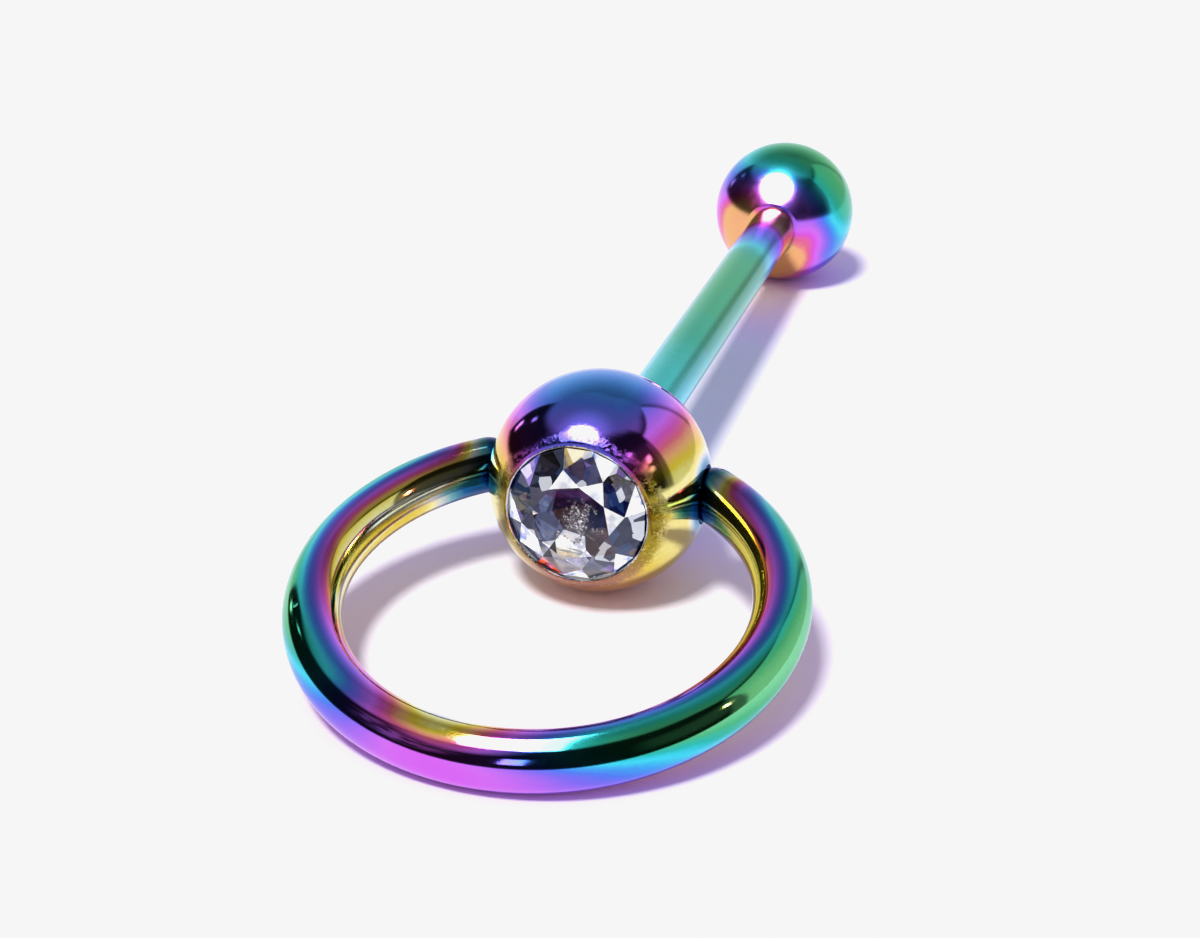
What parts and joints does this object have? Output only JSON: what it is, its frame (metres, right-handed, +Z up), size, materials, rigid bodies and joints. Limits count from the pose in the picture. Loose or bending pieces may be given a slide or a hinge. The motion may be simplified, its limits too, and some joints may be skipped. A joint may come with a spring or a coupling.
{
  "type": "tongue ring",
  "caption": "Straight barbell with a stone-set front ball that carries a swinging captive ring, and a plain screw-on ball at the back.",
  "frame": {"origin": "on the ground, below the middle of the object's box", "axes": "+Z up, +Y from the front ball with its stone and ring along the bar to the plain ball, +X to the right seen from the ring's end"},
  "size_m": [0.0132, 0.0392, 0.006],
  "materials": {
    "bar_coating": "mirror-polished steel with a rainbow oxide coating, teal to green",
    "gem_ball_coating": "mirror-polished steel with a rainbow oxide coating, blue and violet to gold",
    "ring_coating": "mirror-polished steel with a rainbow oxide coating, green, blue, violet and gold",
    "plain_ball_coating": "mirror-polished steel with a rainbow oxide coating, green to magenta",
    "crystal": "clear faceted crystal glass with a silver foil back"
  },
  "bodies": {
    "barbell": {"bar": "bar_coating", "gem_ball": "gem_ball_coating", "stone": "crystal"},
    "ring": {"captive_ring": "ring_coating"},
    "back_ball": {"plain_ball": "plain_ball_coating"}
  },
  "joints": [
    {"name": "ring_swing", "type": "hinge", "parent": "barbell", "child": "ring", "pos_m": [0, -0.00815, 0.003], "axis": [-1, 0, 0], "range_deg": [-158, 184]},
    {"name": "ball_unscrew", "type": "slide", "parent": "barbell", "child": "back_ball", "axis": [0, 0.9998, -0.0198], "range_m": [0, 0.02]}
  ]
}
